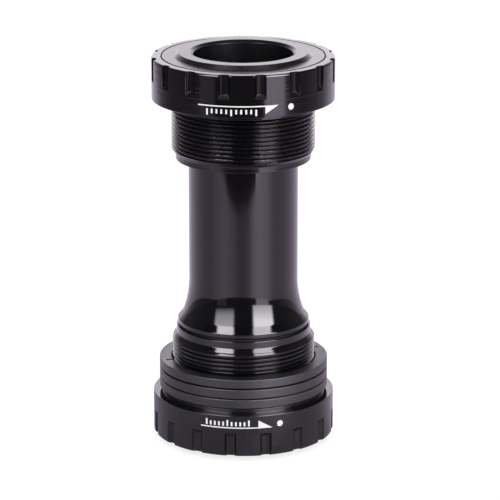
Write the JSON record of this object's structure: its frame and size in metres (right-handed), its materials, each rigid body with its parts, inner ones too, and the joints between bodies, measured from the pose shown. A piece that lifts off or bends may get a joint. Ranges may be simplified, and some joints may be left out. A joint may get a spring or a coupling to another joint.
{
  "type": "bicycle bottom bracket",
  "caption": "External-bearing threaded bottom bracket: two notched black cups with sealed bearings, a plastic sleeve between them and spacer rings on the left cup's thread.",
  "frame": {"origin": "centre of the left dust cover's end face, the lowest face of the part as it stands", "axes": "+Z along the crank spindle's axis from the left cup up to the right cup; -Y is the side the reference view shows; the part is round about Z apart from its notches and threads"},
  "size_m": [0.044, 0.044, 0.0957],
  "materials": {
    "polished_anodise": "polished black anodised, fine turning lines",
    "satin_anodise": "satin black anodised",
    "cover_plastic": "smooth black moulded plastic",
    "sleeve_plastic": "glossy black moulded plastic",
    "spacer_plastic": "matte dark grey moulded plastic",
    "bearing_steel": "ground bearing steel",
    "cage_nylon": "natural nylon",
    "seal_rubber": "matte black rubber"
  },
  "bodies": {
    "left_cup_body": {"left_cup": "satin_anodise", "left_bearing_outer_race": "bearing_steel", "left_bearing_outboard_seal": "seal_rubber", "left_bearing_inboard_seal": "seal_rubber"},
    "left_rotor": {"left_bearing_inner_race": "bearing_steel", "left_dust_cover": "cover_plastic"},
    "left_ball_set": {"left_bearing_cage": "cage_nylon", "left_bearing_ball_01": "bearing_steel", "left_bearing_ball_02": "bearing_steel", "left_bearing_ball_03": "bearing_steel", "left_bearing_ball_04": "bearing_steel", "left_bearing_ball_05": "bearing_steel", "left_bearing_ball_06": "bearing_steel", "left_bearing_ball_07": "bearing_steel", "left_bearing_ball_08": "bearing_steel", "left_bearing_ball_09": "bearing_steel", "left_bearing_ball_10": "bearing_steel", "left_bearing_ball_11": "bearing_steel", "left_bearing_ball_12": "bearing_steel", "left_bearing_ball_13": "bearing_steel", "left_bearing_ball_14": "bearing_steel", "left_bearing_ball_15": "bearing_steel", "left_bearing_ball_16": "bearing_steel"},
    "o_ring": {"sleeve_o_ring": "seal_rubber"},
    "right_cup_body": {"centre_sleeve": "sleeve_plastic", "right_cup": "polished_anodise", "right_bearing_outer_race": "bearing_steel", "right_bearing_outboard_seal": "seal_rubber", "right_bearing_inboard_seal": "seal_rubber"},
    "right_rotor": {"right_bearing_inner_race": "bearing_steel", "right_dust_cover": "cover_plastic"},
    "right_ball_set": {"right_bearing_cage": "cage_nylon", "right_bearing_ball_01": "bearing_steel", "right_bearing_ball_02": "bearing_steel", "right_bearing_ball_03": "bearing_steel", "right_bearing_ball_04": "bearing_steel", "right_bearing_ball_05": "bearing_steel", "right_bearing_ball_06": "bearing_steel", "right_bearing_ball_07": "bearing_steel", "right_bearing_ball_08": "bearing_steel", "right_bearing_ball_09": "bearing_steel", "right_bearing_ball_10": "bearing_steel", "right_bearing_ball_11": "bearing_steel", "right_bearing_ball_12": "bearing_steel", "right_bearing_ball_13": "bearing_steel", "right_bearing_ball_14": "bearing_steel", "right_bearing_ball_15": "bearing_steel", "right_bearing_ball_16": "bearing_steel"},
    "spacer_1_body": {"spacer_1": "spacer_plastic"},
    "spacer_2_body": {"spacer_2": "spacer_plastic"},
    "spacer_3_body": {"spacer_3": "spacer_plastic"}
  },
  "joints": [
    {"name": "left_bearing_spin", "type": "hinge", "parent": "left_cup_body", "child": "left_rotor", "pos_m": [0, 0, 0.0061], "axis": [0, 0, 1], "continuous": true},
    {"name": "left_ball_orbit", "type": "hinge", "parent": "left_cup_body", "child": "left_ball_set", "pos_m": [0, 0, 0.0061], "axis": [0, 0, 1], "continuous": true},
    {"name": "sleeve_pull_out", "type": "slide", "parent": "left_cup_body", "child": "o_ring", "axis": [0, 0, 1], "range_m": [0, 0.0075]},
    {"name": "sleeve_turn", "type": "hinge", "parent": "o_ring", "child": "right_cup_body", "pos_m": [0, 0, 0.0279], "axis": [0, 0, 1], "continuous": true},
    {"name": "right_bearing_spin", "type": "hinge", "parent": "right_cup_body", "child": "right_rotor", "pos_m": [0, 0, 0.0896], "axis": [0, 0, 1], "continuous": true},
    {"name": "right_ball_orbit", "type": "hinge", "parent": "right_cup_body", "child": "right_ball_set", "pos_m": [0, 0, 0.0896], "axis": [0, 0, 1], "continuous": true},
    {"name": "spacer_1_slide", "type": "slide", "parent": "left_cup_body", "child": "spacer_1_body", "axis": [0, 0, 1], "range_m": [0, 0.0211]},
    {"name": "spacer_2_slide", "type": "slide", "parent": "spacer_1_body", "child": "spacer_2_body", "axis": [0, 0, 1], "range_m": [0, 0.0211]},
    {"name": "spacer_3_slide", "type": "slide", "parent": "spacer_2_body", "child": "spacer_3_body", "axis": [0, 0, 1], "range_m": [0, 0.0211]}
  ],
  "couplings": [
    {"joint": "left_ball_orbit", "follows": "left_bearing_spin", "ratio": 0.4435},
    {"joint": "right_ball_orbit", "follows": "right_bearing_spin", "ratio": 0.4435}
  ]
}
